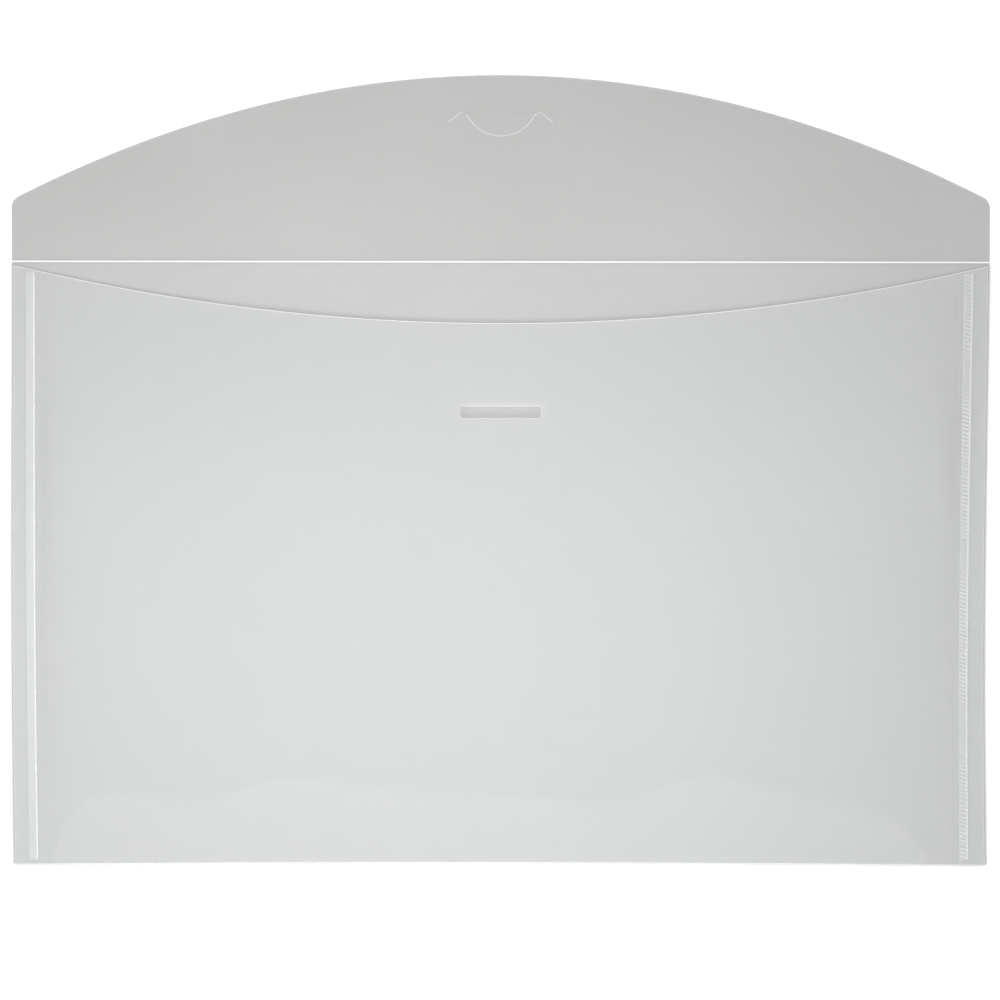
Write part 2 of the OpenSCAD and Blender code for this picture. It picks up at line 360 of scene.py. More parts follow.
def filling(loops, rims, step):
    """Staggered rows of points inside the loops, none too near to a rim point."""
    low, high = rims.min(axis=0), rims.max(axis=0)
    columns, rows = np.meshgrid(np.arange(low[0], high[0], step),
                                np.arange(low[1], high[1], step * ROW_SHARE))
    columns[1::2] += step / 2
    grid = np.column_stack([columns.ravel(), rows.ravel()])
    grid = grid[inside(grid, loops)]

    def nearest(batch):
        return np.hypot(*(batch[:, None] - rims).transpose(2, 0, 1)).min(axis=1)
    return grid[in_batches(nearest, grid) > CLEAR_SHARE * step]


def cut_sheet(name, loops, edge_glints, height):
    """A sheet of film inside an outline, as a closed mesh.

    loops holds the outline, anticlockwise, and then each hole, clockwise, so that film is always on the
    left. The third argument says how strong the painted highlight along the cut edge is at each point of
    each loop, a glint of light drawn as white film, 0 for no cut. Two rows of points run beside each loop,
    where the edge is rounded and where that painted highlight ends, and staggered rows fill the sheet.
    height(x, y) is the sheet's middle surface; the two faces lie half a thickness off it, and a little less
    at a cut.
    """
    s = bpy.context.scene.portfolio_sheet
    rims = np.concatenate(loops)
    rounded = np.concatenate([inset(loop, mm(s, "round_w")) for loop in loops])
    # The painted highlight along a cut edge fades out at this row
    whitened = np.concatenate([inset(loop, mm(s, "glint_w")) for loop in loops])
    flat = np.concatenate([rims, rounded, whitened, filling(loops, rims, mm(s, "step"))])
    starts = np.cumsum([0] + [len(loop) for loop in loops])
    edges = [[start + i, start + (i + 1) % len(loop)] for start, loop in zip(starts, loops)
             for i in range(len(loop))]
    edges = np.concatenate([np.array(edges) + len(rims) * row for row in range(3)])
    places = [Vector(p) for p in flat]
    found, _, faces, origins, _, _ = delaunay_2d_cdt(places, edges.tolist(), [], 0, SAME_POINT / 10)
    flat = np.array([tuple(p) for p in found])
    source = np.array([origin[0] if origin else 3 * len(rims) for origin in origins])
    triangles = np.array(faces)
    a, b, c = flat[triangles].transpose(1, 0, 2)
    turn = np.cross(b - a, c - a)
    triangles[turn < 0] = triangles[turn < 0][:, ::-1]
    doubtful = np.flatnonzero((source[triangles] <= 3 * len(rims)).all(axis=1))
    outside = doubtful[~inside(flat[triangles[doubtful]].mean(axis=1), loops)]
    triangles = np.delete(triangles, outside, axis=0)

    on_rim, on_edge = source < len(rims), source < 2 * len(rims)
    # Strength of the painted highlight along each cut edge, 0 for no cut; a cut also thins the film
    cut = np.where(on_edge, np.concatenate(edge_glints)[source % len(rims)], 0)
    half = FILM / 2 * np.where(on_rim & (cut > 0), s.cut_share, 1)
    z = height(flat[:, 0], flat[:, 1])
    flat = draw_in(flat)
    count = len(flat)
    points = np.concatenate([np.column_stack([flat, z + half]), np.column_stack([flat, z - half])])
    sides = np.concatenate([triangles[:, [0, 1]], triangles[:, [1, 2]], triangles[:, [2, 0]]])
    lone = ~np.isin(sides @ [count, 1], sides @ [1, count])
    a, b = sides[lone].T
    walls = np.column_stack([b, a, a + count, b + count])
    faces = triangles.tolist() + (triangles[:, ::-1] + count).tolist() + walls.tolist()
    return make_object(name, points, faces, {"cut_edge": np.tile(cut, 2)})


def closed_grid(name, upper, lower, attributes):
    """A closed shell from two grids of points, (rows, columns, 3), with walls along all four sides."""
    rows, columns = upper.shape[:2]
    count = rows * columns
    index = np.arange(count).reshape(rows, columns)
    faces = np.column_stack([index[:-1, :-1].ravel(), index[:-1, 1:].ravel(),
                             index[1:, 1:].ravel(), index[1:, :-1].ravel()])
    rim = np.concatenate([index[0], index[1:, -1], index[-1, -2::-1], index[-2:0:-1, 0]])
    after = np.roll(rim, -1)
    walls = np.column_stack([after, rim, rim + count, after + count])
    points = np.concatenate([upper.reshape(-1, 3), lower.reshape(-1, 3)])
    doubled = {key: np.tile(np.ravel(values), 2) for key, values in attributes.items()}
    faces = np.concatenate([faces, faces[:, ::-1] + count, walls])
    return make_object(name, points, faces.tolist(), doubled)


# ---------------------------------------------------------------- shapes of the sheets

def smooth(t):
    """Smooth step: 3 t^2 - 2 t^3 of t held between 0 and 1."""
    t = np.clip(t, 0, 1)
    return t * t * (3 - 2 * t)


def draw_in(points):
    """Draws the pocket's edges in, as its bulge pulls them.

    The bottom fold shifts along +Y by a parabola that is largest at its middle, and the shift fades out
    by the crown. Each side shifts inwards by its own bow times the cube of the distance from the middle
    and the sine of pi times a power of the share of the way down. Nothing moves above the crease.
    """
    s = bpy.context.scene.portfolio_sheet
    crown_y = HINGE_Y - mm(bpy.context.scene.portfolio_pocket, "crown_d")
    moved = np.array(points, float)
    x, y = moved[..., 0].copy(), moved[..., 1].copy()
    reach = x / SIDE_HIGH[0]
    down = smooth((crown_y - y) / (crown_y - FOLD_LOW[1]))
    moved[..., 1] += mm(s, "bottom_bow") * np.clip(1 - reach ** 2, 0, 1) * down
    bow = np.where(x > 0, mm(s, "right_bow"), mm(s, "left_bow"))
    share_down = np.clip((HINGE_Y - y) / (HINGE_Y - FOLD_LOW[1]), 0, 1)
    moved[..., 0] -= bow * reach ** 3 * np.sin(PI * share_down ** BOW_POWER)
    return moved


def wave(x, size, wavelength, crest):
    """size times the cosine of 2 pi (x - crest) / wavelength."""
    return size * np.cos(2 * PI * (x - crest) / wavelength)


def flutes(x, y):
    """Slow waves that run down the film: the sum of three cosines across the case, less 1.

    The crests of the finest drift sideways down the film. Near the right side a smooth step lets the
    film lie flatter.
    """
    drifted = x + WAVE_DRIFT * (y - FOLD_LOW[1])
    waves = wave(x, *BROAD_WAVE) + wave(x, *MEDIUM_WAVE) + wave(drifted, *FINE_WAVE)
    return waves - 1 - FLAT_SIZE * smooth((x - FLAT_START) / FLAT_W)


def belly_height(x, y):
    """Height of the front sheet's middle surface.

    Along the middle of the case its upper face climbs from the mouth at the closed flap's slope until it
    is past the slot, a parabola rounds it over the crown, and a power curve takes it down to the bottom
    fold. Flutes scale the bulge beyond the slot. Across the case a second power curve takes it down to
    the flat margins.
    """
    s = bpy.context.scene.portfolio_pocket
    d = HINGE_Y - y
    slope = math.tan(CLOSED_TILT)
    start = HINGE_Z + (HINGE_Z - FILM) / math.cos(CLOSED_TILT) - mm(s, "rest_gap")
    ramp_end = HINGE_Y - SLOT_Y + mm(s, "slot_h") / 2 + mm(s, "slot_land")
    crown_d = mm(s, "crown_d")
    fold_d = HINGE_Y - BACK_LOW[1]
    crown = start + slope * (ramp_end + crown_d) / 2
    rounded = crown - slope * (crown_d - d) ** 2 / (2 * (crown_d - ramp_end))
    down = np.clip((d - crown_d) / (fold_d - crown_d), 0, 1)
    fall = EDGE_TOP + (crown - EDGE_TOP) * (1 - down ** s.crown_power)
    middle = np.where(d <= ramp_end, start + d * slope, np.where(d <= crown_d, rounded, fall))
    reach = np.clip(np.abs(x) / (SIDE_HIGH[0] - mm(s, "margin_w")), 0, 1)
    across = 1 - reach ** np.where(x < 0, s.left_power, s.right_power)
    flute_share = mm(s, "flute_h") / (crown - EDGE_TOP)
    flute = flute_share * flutes(x, y) * smooth((d - ramp_end) / WAVE_RISE)
    return EDGE_TOP + (middle - EDGE_TOP) * (1 + flute) * across - FILM / 2


def crease_lift(x, y):
    """Height of the back sheet's and the flap's middle surface.

    It is flat on what the case lies on, and raised towards the crease by a squared ramp that dies out
    towards the sides.
    """
    s = bpy.context.scene.portfolio_flap
    near = np.clip(1 - np.abs(y - HINGE_Y) / mm(s, "ridge_w"), 0, 1)
    across = 1 - np.clip(np.abs(x) / FLAP_HIGH[0], 0, 1) ** 2
    return FILM / 2 + mm(s, "ridge_h") * near ** 2 * across


def mouth_y(x):
    """Edge of the mouth: an arc through its two ends and the middle of its dip."""
    dip = mm(bpy.context.scene.portfolio_pocket, "mouth_dip")
    sag = dip - mm(bpy.context.scene.portfolio_pocket, "mouth_end")
    radius = (FRONT_HIGH[0] ** 2 + sag ** 2) / (2 * sag)
    return HINGE_Y - dip + radius - np.sqrt(radius ** 2 - x ** 2)


def slit_half(side, turn_end):
    """Right half of one side of the slit, from the middle of its round end to turn_end on its turn.

    side 1 is the tongue's edge and -1 is the flap's. The round end and the turn are arcs that touch.
    """
    s = bpy.context.scene.portfolio_flap
    off = side * mm(s, "slit_w") / 2
    round_y = TONGUE_LOW[1] - mm(s, "slit_w") / 2 + mm(s, "tongue_r")
    round_end = arc(0, round_y, mm(s, "tongue_r") - off, PI, PI - s.tongue_angle, count=26)
    turn_x, turn_y = turn_centre()
    turn = arc(turn_x, turn_y, mm(s, "turn_r") + off, -s.tongue_angle, turn_end, count=9)
    return np.concatenate([round_end, turn])


def turn_centre():
    """Centre of the slit's right turn: the sum of both radii away from the round end's centre."""
    s = bpy.context.scene.portfolio_flap
    reach = mm(s, "tongue_r") + mm(s, "turn_r")
    round_y = TONGUE_LOW[1] - mm(s, "slit_w") / 2 + mm(s, "tongue_r")
    return reach * math.sin(s.tongue_angle), round_y - reach * math.cos(s.tongue_angle)


# ---------------------------------------------------------------- materials

def add_node(tree, kind, inputs=None, **settings):
    """Adds a node with its settings. An input given as a socket is linked, and any other is set."""
    node = tree.nodes.new(kind)
    for key, value in settings.items():
        setattr(node, key, value)
    for key, value in (inputs or {}).items():
        if isinstance(value, bpy.types.NodeSocket):
            tree.links.new(value, node.inputs[key])
        else:
            node.inputs[key].default_value = value
    return node


def new_material(name):
    """An empty node material and its tree."""
    material = bpy.data.materials.new(name)
    material.use_nodes = True
    material.node_tree.nodes.clear()
    return material, material.node_tree


def polypropylene(name, tint, haze, marks, marked):
    """Extruded polypropylene film, lightly embossed: milky and see-through, with a smooth skin.

    The haze drifts over some 80 mm, as the film's thickness does. Long faint scuffs lie along it from
    handling. Where the marks attribute says so, the film turns white and hides as much as marked says:
    along a cut edge this is a painted highlight, the glint of light on the edge, and at a pressed crease or
    a stretched fold crest it is whitened film.
    """
    finish = bpy.context.scene.portfolio_finish
    material, tree = new_material(name)
    place = add_node(tree, "ShaderNodeTexCoord").outputs["Object"]
    drift = add_node(tree, "ShaderNodeTexNoise", {"Vector": place, "Scale": 1 / (80 * MM), "Detail": 1.5})
    haze_here = add_node(tree, "ShaderNodeMapRange", {
        "Value": drift.outputs["Fac"], "From Min": 0.3, "From Max": 0.7, "To Min": haze - 0.02,
        "To Max": haze + 0.02})
    stretched = add_node(tree, "ShaderNodeMapping", {
        "Vector": place, "Rotation": (0, 0, math.radians(24)), "Scale": (1 / (60 * MM), 1 / (1.6 * MM), 1)})
    scuff = add_node(tree, "ShaderNodeTexNoise", {
        "Vector": stretched.outputs["Vector"], "Scale": 1.0, "Detail": 2})
    scuffed = add_node(tree, "ShaderNodeMapRange", {
        "Value": scuff.outputs["Fac"], "From Min": 0.66, "From Max": 0.8, "To Min": 0.0, "To Max": 0.015})
    hazy = add_node(tree, "ShaderNodeMath", {0: haze_here.outputs["Result"], 1: scuffed.outputs["Result"]})
    mark = add_node(tree, "ShaderNodeAttribute", attribute_name=marks).outputs["Fac"]
    alpha = add_node(tree, "ShaderNodeMix", {
        0: mark, 2: hazy.outputs["Value"], 3: marked}, data_type="FLOAT")
    # Along a cut edge this white mix is a painted highlight
    base = add_node(tree, "ShaderNodeMix", {
        0: mark, 6: tuple(tint), 7: tuple(finish.cut_edge)}, data_type="RGBA")
    # The emboss is about 0.2 mm, too fine to show, and is drawn four times as coarse
    emboss = add_node(tree, "ShaderNodeTexNoise", {"Vector": place, "Scale": 1 / (0.8 * MM), "Detail": 1})
    bump = add_node(tree, "ShaderNodeBump", {
        "Height": emboss.outputs["Fac"], "Strength": 0.006, "Distance": 0.02 * MM})
    rough = add_node(tree, "ShaderNodeMapRange", {
        "Value": drift.outputs["Fac"], "From Min": 0.3, "From Max": 0.7,
        "To Min": finish.roughness - 0.02, "To Max": finish.roughness + 0.02})
    surface = add_node(tree, "ShaderNodeBsdfPrincipled", {
        "Base Color": base.outputs[2], "Roughness": rough.outputs["Result"], "IOR": 1.49,
        "Alpha": alpha.outputs[0], "Normal": bump.outputs["Normal"], "Coat Weight": 1.0,
        "Coat Roughness": finish.gloss, "Coat IOR": 1.49})
    tree.links.new(surface.outputs["BSDF"], add_node(tree, "ShaderNodeOutputMaterial").inputs["Surface"])
    return material


def welded_film(name):
    """Polypropylene fused through both layers: milky where the knurl pressed it, and clearer between. The
    milky +X border of each track is a painted highlight.
    """
    finish = bpy.context.scene.portfolio_finish
    material, tree = new_material(name)
    place = add_node(tree, "ShaderNodeTexCoord").outputs["Object"]
    knurl_and_sheen = add_node(tree, "ShaderNodeAttribute", attribute_name="knurl_and_sheen").outputs["Fac"]
    speckle = add_node(tree, "ShaderNodeTexNoise", {"Vector": place, "Scale": 1 / (1.1 * MM), "Detail": 2})
    uneven = add_node(tree, "ShaderNodeMapRange", {
        "Value": speckle.outputs["Fac"], "From Min": 0.35, "From Max": 0.65, "To Min": 0.7, "To Max": 1.1})
    milk = add_node(tree, "ShaderNodeMath", {
        0: knurl_and_sheen, 1: uneven.outputs["Result"]}, operation="MULTIPLY")
    alpha = add_node(tree, "ShaderNodeMapRange", {
        "Value": milk.outputs["Value"], "To Min": 0.03, "To Max": 0.5})
    surface = add_node(tree, "ShaderNodeBsdfPrincipled", {
        "Base Color": tuple(finish.weld), "Roughness": 0.4, "IOR": 1.49, "Alpha": alpha.outputs["Result"]})
    tree.links.new(surface.outputs["BSDF"], add_node(tree, "ShaderNodeOutputMaterial").inputs["Surface"])
    return material


def matt_paper(name, tint):
    """Seamless studio paper: flat and matt, with a fibre grain of about half a millimetre."""
    material, tree = new_material(name)
    place = add_node(tree, "ShaderNodeTexCoord").outputs["Object"]
    fibre = add_node(tree, "ShaderNodeTexNoise", {"Vector": place, "Scale": 1 / (0.5 * MM), "Detail": 1})
    bump = add_node(tree, "ShaderNodeBump", {
        "Height": fibre.outputs["Fac"], "Strength": 0.05, "Distance": 0.01 * MM})
    surface = add_node(tree, "ShaderNodeBsdfPrincipled", {
        "Base Color": tuple(tint), "Roughness": 0.9, "Specular IOR Level": 0.0,
        "Normal": bump.outputs["Normal"]})
    tree.links.new(surface.outputs["BSDF"], add_node(tree, "ShaderNodeOutputMaterial").inputs["Surface"])
    return material


def place_piece(piece, material, node, body):
    """Gives a piece its material, hides the CAD node that it replaces and, if a body is given, hangs the
    piece on that body.
    """
    piece.data.materials.append(material)
    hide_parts(node)
    if body:
        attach(piece, body)


def film_material(name, tint, haze):
    """The polypropylene of that name, with a painted highlight along its cut edges, drawn as white film."""
    solid = bpy.context.scene.portfolio_finish.glint_solid
    return shared_material(name, polypropylene, tint, haze, "cut_edge", solid)


def shared_material(name, make, *details):
    """The material of that name, made the first time that it is asked for."""
    return bpy.data.materials.get(name) or make(name, *details)


# ---------------------------------------------------------------- operators

class PORTFOLIO_OT_stage(bpy.types.Operator):
    """Lay the pale floor, hang the soft lights and set the camera over the case"""
    bl_idname = "portfolio.stage"
    bl_label = "Stage"

    def execute(self, context):
        s = context.scene.portfolio_stage
        half, drop = s.floor_half, -s.floor_drop
        mesh = bpy.data.meshes.new("floor")
        corners = [(-half, -half, drop), (half, -half, drop), (half, half, drop), (-half, half, drop)]
        mesh.from_pydata(corners, [], [(0, 1, 2, 3)])
        mesh.materials.append(matt_paper("seamless_paper", s.floor))
        floor = bpy.data.objects.new("floor", mesh)
        context.scene.collection.objects.link(floor)

        place = (s.key_x, s.key_y, s.key_h)
        key = self.add_light(context, "key", s.key_power, place, s.key_w, s.key_depth)
        key.visible_glossy = False
        # Off, because rays that meet this hidden light by chance can leave white specks
        key.data.cycles.use_multiple_importance_sampling = False
        # The soft box starts where the line from the case at the band angle meets its height
        near_y = HINGE_Y * MM - s.band_foot - s.band_h * math.tan(s.band_angle)
        place = (0, near_y - s.band_depth / 2, s.band_h)
        band = self.add_light(context, "band", s.band_power, place, s.band_w, s.band_depth)
        band.visible_diffuse = False

        world = bpy.data.worlds.new("studio")
        world.use_nodes = True
        world.node_tree.nodes["Background"].inputs["Color"].default_value = (1, 1, 1, 1)
        world.node_tree.nodes["Background"].inputs["Strength"].default_value = s.fill
        context.scene.world = world
        context.scene.view_settings.view_transform = "Standard"
        # Light goes down and up again through as many as four films, with two faces each
        context.scene.cycles.transparent_max_bounces = 32

        lens = bpy.data.cameras.new("camera")
        lens.sensor_width = 36
        lens.lens = lens.sensor_width * s.distance / s.view_w
        camera = bpy.data.objects.new("camera", lens)
        height = s.distance * math.cos(s.tilt)
        camera.location = (s.aim_x, s.aim_y + s.distance * math.sin(s.tilt), height)
        camera.rotation_euler = (-s.tilt, 0, s.roll)
        context.scene.collection.objects.link(camera)
        context.scene.camera = camera
        return {"FINISHED"}

    @staticmethod
    def add_light(context, name, power, place, width, depth):
        """Adds a rectangular area light that faces down and that the camera doesn't see."""
        data = bpy.data.lights.new(name, "AREA")
        data.shape, data.size, data.size_y, data.energy = "RECTANGLE", width, depth, power
        light = bpy.data.objects.new(name, data)
        light.location = place
        light.visible_camera = False
        context.scene.collection.objects.link(light)
        return light


class PORTFOLIO_OT_back_sheet(bpy.types.Operator):
    """Make the back sheet, between the crease, the side folds and the bottom fold"""
    bl_idname = "portfolio.back_sheet"
    bl_label = "Back sheet"

    def execute(self, context):
        step = mm(context.scene.portfolio_sheet, "edge_step")
        half, low = BACK_HIGH[0], BACK_LOW[1]
        high = HINGE_Y - mm(context.scene.portfolio_flap, "crease_w") / 2
        corners = [(-half, low), (half, low), (half, high), (-half, high)]
        sides = [(stretch(a, b, step), 0) for a, b in zip(corners, corners[1:] + corners[:1])]
        loop, cut = closed_loop(*sides)
        piece = cut_sheet("back_sheet", [loop], [cut], crease_lift)
        finish = context.scene.portfolio_finish
        film = film_material("back_polypropylene", finish.back, finish.back_haze)
        place_piece(piece, film, "back_panel", "pocket")
        return {"FINISHED"}


class PORTFOLIO_OT_front_sheet(bpy.types.Operator):
    """Make the bulging front sheet, with its curved mouth and the slot for the tongue"""
    bl_idname = "portfolio.front_sheet"
    bl_label = "Front sheet"

    def execute(self, context):
        s = context.scene.portfolio_pocket
        step = mm(context.scene.portfolio_sheet, "edge_step")
        half, low = FRONT_HIGH[0], BACK_LOW[1]
        end_y = mouth_y(half)
        across = np.linspace(half, -half, round(2 * half / step) + 1)
        finish = context.scene.portfolio_finish
        # The rims, the mouth and the slot get a painted highlight along their cut edges
        outline, cut = closed_loop(
            (stretch((-half, low), (half, low), step), 0),
            (stretch((half, low), (half, end_y), step), finish.rim_glint),
            (np.column_stack([across, mouth_y(across)]), finish.mouth_glint),
            (stretch((-half, end_y), (-half, low), step), finish.rim_glint))
        slot, slot_glints = closed_loop((self.slot_outline(s, step), finish.slot_edge_glint))
        piece = cut_sheet("front_sheet", [outline, slot], [cut, slot_glints], belly_height)
        film = film_material("front_polypropylene", finish.front, finish.front_haze)
        place_piece(piece, film, "front_panel", "pocket")
        return {"FINISHED"}

    @staticmethod
    def slot_outline(s, step):
        """A rounded oblong, clockwise: four arcs, and points along the straight lines between them."""
        r = mm(s, "slot_r")
        x, y = mm(s, "slot_w") / 2 - r, mm(s, "slot_h") / 2 - r
        turns = [(x, y, 0), (x, -y, PI / 2), (-x, -y, PI), (-x, y, 1.5 * PI)]
        arcs = [arc(cx, SLOT_Y + cy, r, start, start + PI / 2, count=7) for cx, cy, start in turns]
        ahead = arcs[1:] + arcs[:1]
        return np.concatenate([np.concatenate([a, stretch(a[-1], b[0], step)])
                               for a, b in zip(arcs, ahead)])


class PORTFOLIO_OT_folds(bpy.types.Operator):
    """Make the half-round folds along the bottom and along both sides"""
    bl_idname = "portfolio.folds"
    bl_label = "Folds"

    def execute(self, context):
        finish = context.scene.portfolio_finish
        film = shared_material("folded_polypropylene", polypropylene, finish.folded, finish.front_haze,
                               "fold", finish.fold_solid)
        half = FRONT_HIGH[0]
        ends = (-half, BACK_LOW[1]), (half, BACK_LOW[1])
        bottom = self.fold("bottom_roll", *ends, (0, -1), EDGE_TOP / 2)
        place_piece(bottom, film, "bottom_fold", "pocket")
        for side, label in ((-1, "left"), (1, "right")):
            x = side * BACK_HIGH[0]
            ends = (x, SIDE_LOW[1]), (x, SIDE_HIGH[1])
            radius = SIDE_HIGH[2] / 2 - TOUCH_GAP / 2
            roll = self.fold(f"{label}_side_roll", *ends, (side, 0), radius)
            place_piece(roll, film, f"{label}_side_fold", "pocket")
        return {"FINISHED"}

    @staticmethod
    def fold(name, start, end, out, radius):
        """A half ring carried along a line.

        Each point is the line's plus radius times (out cos t, sin t), t from -90 to 90 degrees, and the
        inner face has the film's thickness less. Both ends draw in by half of a quarter circle. A wobble,
        the sum of two sines, runs along the fold.
        """
        count = round(math.dist(start, end) / FOLD_STEP)
        share_along = np.linspace(0, 1, count + 1)[:, None]
        line = np.array(start) + (np.array(end) - np.array(start)) * share_along
        turn = np.linspace(-PI / 2, PI / 2, num=13)[None]
        run = share_along * math.dist(start, end)
        corner = np.clip(1 - np.minimum(run, run[-1] - run) / radius, 0, 1)
        ease = 1 - 0.5 * (1 - np.sqrt(1 - corner ** 2))
        short_turn, long_turn = run / 2.3, run / 5.1 + 1
        wobble = 1 + 0.05 * np.sin(short_turn) + 0.04 * np.sin(long_turn)

        def ring(r):
            outwards = r * np.cos(turn) * ease * wobble
            x = line[:, :1] + out[0] * outwards
            y = line[:, 1:] + out[1] * outwards
            z = radius + r * np.sin(turn) + 0 * x
            return draw_in(np.stack([x, y, z], axis=-1))
        crest = np.cos(turn) ** 2 + 0 * line[:, :1]
        return closed_grid(name, ring(radius), ring(radius - FILM), {"fold": crest})


class PORTFOLIO_OT_tabs(bpy.types.Operator):
    """Make the side tabs that the front sheet is welded to"""
    bl_idname = "portfolio.tabs"
    bl_label = "Side tabs"

    def execute(self, context):
        finish = context.scene.portfolio_finish
        film = film_material("tab_polypropylene", finish.folded, finish.tab_haze)
        step = mm(context.scene.portfolio_sheet, "edge_step")
        fall = mm(context.scene.portfolio_pocket, "tab_fall")
        inner, outer, foot, top = TAB_LOW[0], TAB_HIGH[0], TAB_LOW[1], TAB_HIGH[1]
        middle = TAB_HIGH[2] - FILM / 2 - TOUCH_GAP
        right = [(inner, foot), (outer, foot), (outer, top), (inner, top - fall)]
        # The tab's top end gets a painted highlight along its cut edge
        tab_glints = (0, 0, finish.rim_glint, 0)
        for side, label in ((-1, "left"), (1, "right")):
            sides = [(stretch(a, b, step), white)
                     for a, b, white in zip(right, right[1:] + right[:1], tab_glints)]
            loop, cut = closed_loop(*sides)
            if side < 0:
                loop, cut = flip(loop), cut[::-1]
            piece = cut_sheet(f"{label}_tab", [loop], [cut], lambda x, y: middle + 0 * x)
            place_piece(piece, film, f"{label}_side_tab", "pocket")
        return {"FINISHED"}


class PORTFOLIO_OT_welds(bpy.types.Operator):
    """Make the knurled weld track along each side"""
    bl_idname = "portfolio.welds"
    bl_label = "Welds"

    def execute(self, context):
        for side, label in ((-1, "left"), (1, "right")):
            piece = self.track(context, f"{label}_weld_track", side)
            film = shared_material("welded_polypropylene", welded_film)
            place_piece(piece, film, f"{label}_weld_seam", "pocket")
        return {"FINISHED"}

    RIB_TILT = 0.3  # how far a rib runs along the track, for each millimetre across it
    # Where each border starts, from the track's middle, and how wide it rises, as shares of the width; the
    # first pair is for the +X border, which carries a painted highlight
    HIGH_START, HIGH_RISE = 0.26, 0.12
    LOW_START, LOW_RISE = 0.36, 0.1
    LOW_SIZE, RIGHT_SIZE = 0.15, 0.7  # the lower border, and what the right track adds to it at its top
    SIDE_FADE, END_FADE = 0.06, 0.003  # shares of the width and length over which the track rises

    def track(self, context, name, side):
        """Tilted ribs on a flat band between two raised borders.

        Ribs: half of 1 + cos(2 pi (along + tilt across) / pitch), with both lengths on the track. Their
        strength wanders along it by the product of two sines, as the wheel's pressure does. The left
        track's band grows milkier towards +X, and the border on that side is the higher one. On both tracks
        that +X border is also drawn milky as a painted highlight, the light from the left caught by the
        groove's wall.
        """
        w = context.scene.portfolio_weld
        width, grain = mm(w, "width"), mm(w, "grain")
        foot, top = WELD_LOW[1], mouth_y(WELD_LOW[0]) - mm(w, "mouth_gap")
        s, t = np.meshgrid(np.linspace(0, 1, round((top - foot) / grain)),
                           np.linspace(-0.5, 0.5, round(width / grain) + 1), indexing="ij")
        run = s * (top - foot)
        ribs = 0.5 + 0.5 * np.cos(2 * PI * (run + self.RIB_TILT * t * width) / mm(w, "pitch"))
        quick_turn, slow_turn = run / 9.1 + side, run / 23.7 + 2 * side
        wander = 0.72 + 0.28 * np.sin(quick_turn) * np.sin(slow_turn)
        # The +X border: partly a raised border, partly a painted highlight of the light from the left
        high = smooth((t - self.HIGH_START) / self.HIGH_RISE)
        low = smooth((-t - self.LOW_START) / self.LOW_RISE)
        border = high + (self.LOW_SIZE + self.RIGHT_SIZE * (side > 0) * s ** 3) * low
        across = smooth((0.5 - np.abs(t)) / self.SIDE_FADE)
        body = across * smooth(np.minimum(s, 1 - s) / self.END_FADE)
        depth = w.left_knurl if side < 0 else w.right_knurl
        milk = 0.0 if side > 0 else w.base + w.ramp * (t + 0.5)
        # Milkiness of knurl and borders, which includes the painted highlight of the +X border
        knurl_and_sheen = np.clip(milk + depth * ribs * wander + w.border * border, 0, 1) * body
        middle = SIDE_HIGH[0] - WELD_HIGH[0]
        outer = SIDE_HIGH[0] - middle - width / 2
        inwards = mm(w, "lean") * (1 - s) + (mm(w, "right_in") if side > 0 else 0)
        x = side * (outer - inwards) + t * width
        underside = EDGE_TOP + 0.01
        z = underside + 0.01 + mm(w, "knurl_h") * knurl_and_sheen
        upper = draw_in(np.stack([x, foot + run, z], axis=-1))
        lower = draw_in(np.stack([x, foot + run, underside + 0 * z], axis=-1))
        return closed_grid(name, upper, lower, {"knurl_and_sheen": knurl_and_sheen})


class PORTFOLIO_OT_crease(bpy.types.Operator):
    """Make the pressed crease that the flap folds along"""
    bl_idname = "portfolio.crease"
    bl_label = "Crease"

    def execute(self, context):
        s = context.scene.portfolio_flap
        half, width = FLAP_HIGH[0], mm(s, "crease_w")
        y, x = np.meshgrid(HINGE_Y + width * np.linspace(-0.5, 0.5, num=17),
                           np.linspace(-half, half, num=156), indexing="ij")
        pressed = smooth(1 - np.abs(y - HINGE_Y) / mm(s, "press_w"))
        half_t = (FILM - (FILM - mm(s, "crease_t")) * pressed) / 2
        z = crease_lift(x, y)
        piece = closed_grid("pressed_crease", np.stack([x, y, z + half_t], axis=-1),
                            np.stack([x, y, z - half_t], axis=-1), {"press": pressed})
        finish = context.scene.portfolio_finish
        film = shared_material("creased_polypropylene", polypropylene, finish.flap, finish.flap_haze,
                               "press", finish.press_solid)
        place_piece(piece, film, "flap_crease", None)
        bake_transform(piece)
        return {"FINISHED"}


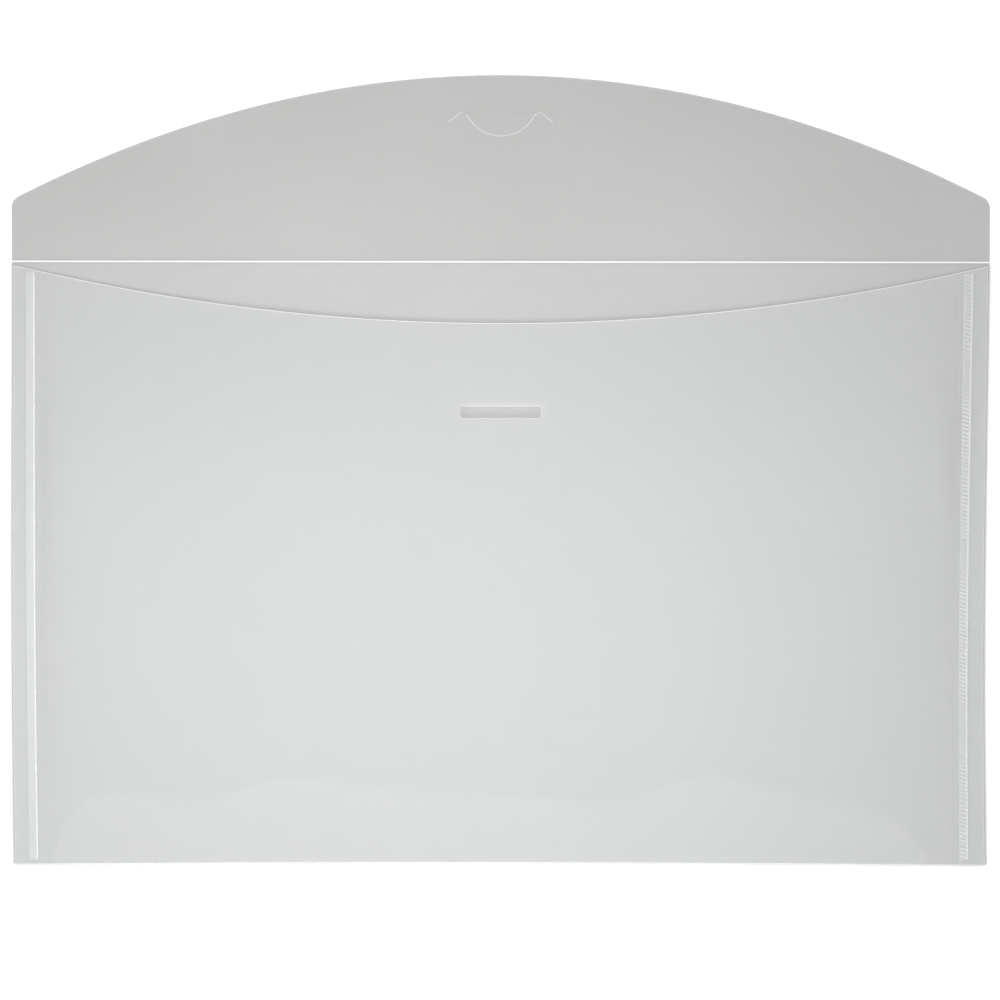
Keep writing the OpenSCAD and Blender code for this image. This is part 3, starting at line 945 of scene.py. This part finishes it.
class PORTFOLIO_OT_flap(bpy.types.Operator):
    """Make the arched flap, with the window that the slit leaves round the tongue"""
    bl_idname = "portfolio.flap"
    bl_label = "Flap"

    def execute(self, context):
        outline, cut = self.outline(context)
        window, window_glints = self.window(context)
        piece = cut_sheet("flap_sheet", [outline, window], [cut, window_glints], crease_lift)
        finish = context.scene.portfolio_finish
        film = film_material("flap_polypropylene", finish.flap, finish.flap_haze)
        place_piece(piece, film, "flap_panel", "flap")
        return {"FINISHED"}

    @staticmethod
    def outline(context):
        """Straight sides, corner arcs and a parabola.

        The parabola falls from the flap's top with the square of x, and each corner's arc touches both it
        and the straight side.
        """
        s = context.scene.portfolio_flap
        step = mm(context.scene.portfolio_sheet, "edge_step")
        half, top, r = FLAP_HIGH[0], FLAP_HIGH[1], mm(s, "corner_r")
        foot = HINGE_Y + mm(s, "crease_w") / 2
        sag = top - HINGE_Y - mm(s, "side_h")
        touch_x = half - r * (1 - math.sin(math.atan(2 * sag / half)))
        turn = math.atan(2 * sag * touch_x / half ** 2)
        corner_x = half - r
        corner_y = top - sag * (touch_x / half) ** 2 - r * math.cos(turn)
        corner = arc(corner_x, corner_y, r, PI / 2, turn, count=9)
        x = np.linspace(corner[-1, 0], -corner[-1, 0], round(2 * half / step))
        right = np.concatenate([stretch((half, foot), (half, corner_y), step), corner])
        arch = np.column_stack([x, top - sag * (x / half) ** 2])
        # The flap's cut rim gets a painted highlight
        white = context.scene.portfolio_finish.rim_glint
        return closed_loop((stretch((-half, foot), (half, foot), step), 0), (right, white), (arch, white),
                           (flip(right), white))

    @staticmethod
    def window(context):
        """The slit and the tongue's area, clockwise: the root, an ear, the slit's lower side, an ear."""
        s = context.scene.portfolio_flap
        half_slit = mm(s, "slit_w") / 2
        x, y = turn_centre()
        sideways = np.array([math.cos(s.ear_angle), -math.sin(s.ear_angle)])
        upwards = np.array([math.sin(s.ear_angle), math.cos(s.ear_angle)])
        end = np.array([x, y]) + mm(s, "turn_r") * upwards + mm(s, "ear_l") * sideways
        upper = arc(x, y, mm(s, "turn_r") + half_slit, 0, s.ear_angle, count=6)
        cap = arc(end[0], end[1], half_slit, s.ear_angle, s.ear_angle + PI, count=6)
        lower = slit_half(-1, s.ear_angle)[::-1]
        out, back = stretch(upper[-1], cap[0], EAR_STEP), stretch(cap[-1], lower[0], EAR_STEP)
        right = np.concatenate([upper, out, cap, back, lower])
        root = stretch(upper[0] * [-1, 1], upper[0], ROOT_STEP)
        # Both sides of the slit get a painted highlight
        white = context.scene.portfolio_finish.slit_glint
        return closed_loop((root, 0), (right, white), (flip(right), white))


class PORTFOLIO_OT_tongue(bpy.types.Operator):
    """Make the tongue that tucks into the slot, as a flat sheet"""
    bl_idname = "portfolio.tongue"
    bl_label = "Tongue"

    def execute(self, context):
        right = slit_half(1, 0)
        root = stretch(right[-1], right[-1] * [-1, 1], ROOT_STEP)
        finish = context.scene.portfolio_finish
        # The tongue's cut edge gets a painted highlight
        loop, cut = closed_loop((flip(right), finish.slit_glint), (right, finish.slit_glint), (root, 0))
        piece = cut_sheet("tongue_sheet", [loop], [cut], lambda x, y: FILM / 2 + 0 * x)
        film = film_material("flap_polypropylene", finish.flap, finish.flap_haze)
        place_piece(piece, film, "closure_tongue", None)
        root_y, zone = TONGUE_HIGH[1], mm(context.scene.portfolio_flap, "root_w")
        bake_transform(piece)
        return {"FINISHED"}


class PORTFOLIO_PT_panel(bpy.types.Panel):
    """Lists the pieces of the case"""
    bl_idname = "PORTFOLIO_PT_panel"
    bl_label = "Film portfolio case"
    bl_space_type = "VIEW_3D"
    bl_region_type = "UI"
    bl_category = "Portfolio"

    def draw(self, context):
        for operator in OPERATORS:
            self.layout.operator(operator.bl_idname)


SETTINGS = {
    "portfolio_sheet": SheetSettings,
    "portfolio_pocket": PocketSettings,
    "portfolio_flap": FlapSettings,
    "portfolio_weld": WeldSettings,
    "portfolio_finish": FinishSettings,
    "portfolio_stage": StageSettings,
}
OPERATORS = [
    PORTFOLIO_OT_stage,
    PORTFOLIO_OT_back_sheet,
    PORTFOLIO_OT_front_sheet,
    PORTFOLIO_OT_folds,
    PORTFOLIO_OT_tabs,
    PORTFOLIO_OT_welds,
    PORTFOLIO_OT_crease,
    PORTFOLIO_OT_flap,
    PORTFOLIO_OT_tongue,
]


def register():
    """Registers the settings, the operators and the panel."""
    for kind in [*SETTINGS.values(), *OPERATORS, PORTFOLIO_PT_panel]:
        bpy.utils.register_class(kind)
    for name, kind in SETTINGS.items():
        setattr(bpy.types.Scene, name, PointerProperty(type=kind))


def unregister():
    """Takes them away again."""
    for name in SETTINGS:
        delattr(bpy.types.Scene, name)
    for kind in reversed([*SETTINGS.values(), *OPERATORS, PORTFOLIO_PT_panel]):
        bpy.utils.unregister_class(kind)


def main():
    """Builds the whole scene."""
    register()
    for operator in OPERATORS:
        group, name = operator.bl_idname.split(".")
        getattr(getattr(bpy.ops, group), name)()


if __name__ == "__main__":
    main()
